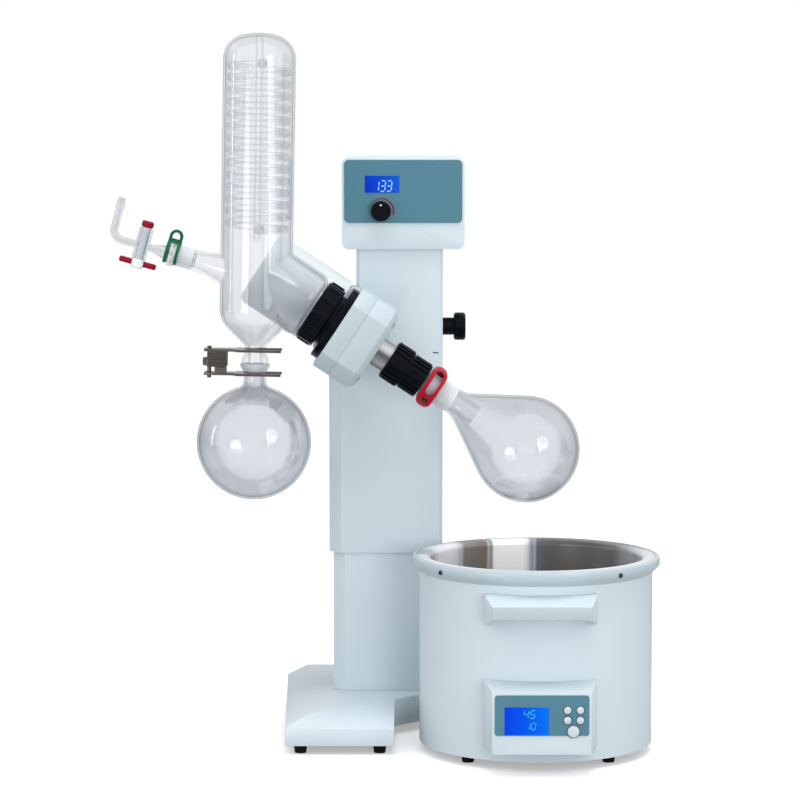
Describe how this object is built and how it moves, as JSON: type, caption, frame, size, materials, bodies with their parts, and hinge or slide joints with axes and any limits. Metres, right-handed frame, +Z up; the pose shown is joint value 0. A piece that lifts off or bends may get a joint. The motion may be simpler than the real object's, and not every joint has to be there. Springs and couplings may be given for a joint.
{
  "type": "rotary evaporator",
  "caption": "Laboratory rotary evaporator: lift stand with tilting drive, glass condenser, receiver and evaporating flasks, and a separate heating bath.",
  "frame": {"origin": "bottom centre of the whole object's box, on the bench", "axes": "+X to the right seen from the front, +Y from the front to the back, +Z up"},
  "size_m": [0.6714, 0.4996, 0.8768],
  "materials": {
    "body_paint": "satin powder paint",
    "floor_plate": "plain",
    "foot_rubber": "matt",
    "steel": "brushed",
    "screw_steel": "bright",
    "heater_metal": "cast",
    "teal_panel": "fine grain",
    "blue_display": "clear window",
    "black_plastic": "moulded",
    "button_plastic": "smooth",
    "power_button_metal": "silver",
    "pad_plastic": "smooth",
    "bronze": "turned",
    "seal_rubber": "matt",
    "glass": "clear borosilicate",
    "red_plastic": "moulded",
    "green_plastic": "moulded",
    "clamp_metal": "plated"
  },
  "bodies": {
    "root": {"base_shell": "body_paint", "base_bottom_plate": "floor_plate", "base_feet": "foot_rubber", "inner_column": "body_paint", "lift_actuator_tube": "steel", "bath_shell": "body_paint", "bath_rim": "body_paint", "rim_screws": "screw_steel", "bath_pot": "steel", "bath_heater": "heater_metal", "bath_temperature_probe": "heater_metal", "bath_floor": "floor_plate", "bath_feet": "foot_rubber", "bath_handle": "body_paint", "bath_control_box": "body_paint", "bath_panel": "teal_panel", "bath_display": "blue_display"},
    "carriage": {"sleeve": "body_paint", "head_box": "body_paint", "head_panel": "teal_panel", "speed_display": "blue_display", "guide_pads": "pad_plastic", "lift_actuator_rod": "steel", "tilt_bush": "bronze"},
    "speed_dial": {"speed_knob": "black_plastic"},
    "tilt_lock": {"tilt_lock_knob": "black_plastic"},
    "drive_head": {"gearbox_case_left": "body_paint", "gearbox_case_right": "body_paint", "gearbox_rear_case": "body_paint", "pivot_shaft": "steel", "spindle_bearings": "steel", "motor_cover": "body_paint", "motor": "heater_metal", "drive_belt": "seal_rubber", "flange_ring": "black_plastic", "vacuum_seal": "seal_rubber", "condenser_jacket": "glass", "condenser_coil": "glass", "side_clip": "green_plastic", "stopcock_body": "glass", "receiver_flask": "glass", "clamp_fork_upper": "clamp_metal"},
    "motor_rotor": {"motor_shaft": "steel", "motor_pulley": "steel"},
    "rotating_line": {"spindle": "steel", "driven_pulley": "steel", "vapour_duct": "glass", "flask_clip": "red_plastic", "evaporating_flask": "glass"},
    "ejector": {"ejector_nut": "black_plastic"},
    "condenser_nut": {"flange_nut": "black_plastic"},
    "stopcock": {"stopcock_plug": "pad_plastic", "stopcock_handle": "red_plastic"},
    "clamp_jaw": {"clamp_fork_lower": "clamp_metal"},
    "clamp_thumbscrew": {"clamp_screw": "clamp_metal"},
    "button_up_key": {"button_up": "button_plastic"},
    "button_down_key": {"button_down": "button_plastic"},
    "button_set_key": {"button_set": "button_plastic"},
    "button_mode_key": {"button_mode": "button_plastic"},
    "power_button_key": {"power_button": "power_button_metal"}
  },
  "joints": [
    {"name": "lift_slide", "type": "slide", "parent": "root", "child": "carriage", "axis": [0, 0, 1], "range_m": [-0.15, 0]},
    {"name": "head_tilt", "type": "hinge", "parent": "carriage", "child": "drive_head", "pos_m": [-0.01627, 0.05875, 0.511], "axis": [0, 1, 0], "range_deg": [-12, 12]},
    {"name": "spindle_spin", "type": "hinge", "parent": "drive_head", "child": "rotating_line", "pos_m": [-0.06227, -0.06725, 0.525], "axis": [0.8339, 0, -0.5519], "continuous": true},
    {"name": "motor_spin", "type": "hinge", "parent": "drive_head", "child": "motor_rotor", "pos_m": [-0.06227, 0.02975, 0.525], "axis": [0.8339, 0, -0.5519], "continuous": true},
    {"name": "ejector_turn", "type": "hinge", "parent": "rotating_line", "child": "ejector", "pos_m": [0.00319, -0.06725, 0.48167], "axis": [0.8339, 0, -0.5519], "continuous": true},
    {"name": "flange_nut_turn", "type": "hinge", "parent": "drive_head", "child": "condenser_nut", "pos_m": [-0.08962, -0.06725, 0.5431], "axis": [0.8339, 0, -0.5519], "continuous": true},
    {"name": "stopcock_turn", "type": "hinge", "parent": "drive_head", "child": "stopcock", "pos_m": [-0.29718, -0.06725, 0.61945], "axis": [0.2672, 0, 0.9636], "continuous": true},
    {"name": "clamp_open", "type": "hinge", "parent": "drive_head", "child": "clamp_jaw", "pos_m": [-0.20229, -0.06725, 0.4783], "axis": [0, 1, 0], "range_deg": [0, 6]},
    {"name": "clamp_screw_turn", "type": "hinge", "parent": "drive_head", "child": "clamp_thumbscrew", "pos_m": [-0.21629, -0.06725, 0.47857], "axis": [0.0192, 0, 0.9998], "continuous": true},
    {"name": "speed_dial_turn", "type": "hinge", "parent": "carriage", "child": "speed_dial", "pos_m": [-0.00727, 0.04875, 0.658], "axis": [0, -1, 0], "range_deg": [-270, 0]},
    {"name": "tilt_lock_turn", "type": "hinge", "parent": "carriage", "child": "tilt_lock", "pos_m": [0.07073, 0.08275, 0.511], "axis": [1, 0, 0], "range_deg": [0, 180]},
    {"name": "button_up_press", "type": "slide", "parent": "root", "child": "button_up_key", "axis": [0, 1, 0], "range_m": [0, 0.001], "stiffness_N_per_m": 300},
    {"name": "button_down_press", "type": "slide", "parent": "root", "child": "button_down_key", "axis": [0, 1, 0], "range_m": [0, 0.001], "stiffness_N_per_m": 300},
    {"name": "button_set_press", "type": "slide", "parent": "root", "child": "button_set_key", "axis": [0, 1, 0], "range_m": [0, 0.001], "stiffness_N_per_m": 300},
    {"name": "button_mode_press", "type": "slide", "parent": "root", "child": "button_mode_key", "axis": [0, 1, 0], "range_m": [0, 0.001], "stiffness_N_per_m": 300},
    {"name": "power_button_press", "type": "slide", "parent": "root", "child": "power_button_key", "axis": [0, 1, 0], "range_m": [0, 0.001], "stiffness_N_per_m": 300}
  ],
  "couplings": [
    {"joint": "motor_spin", "follows": "spindle_spin", "ratio": 2}
  ]
}
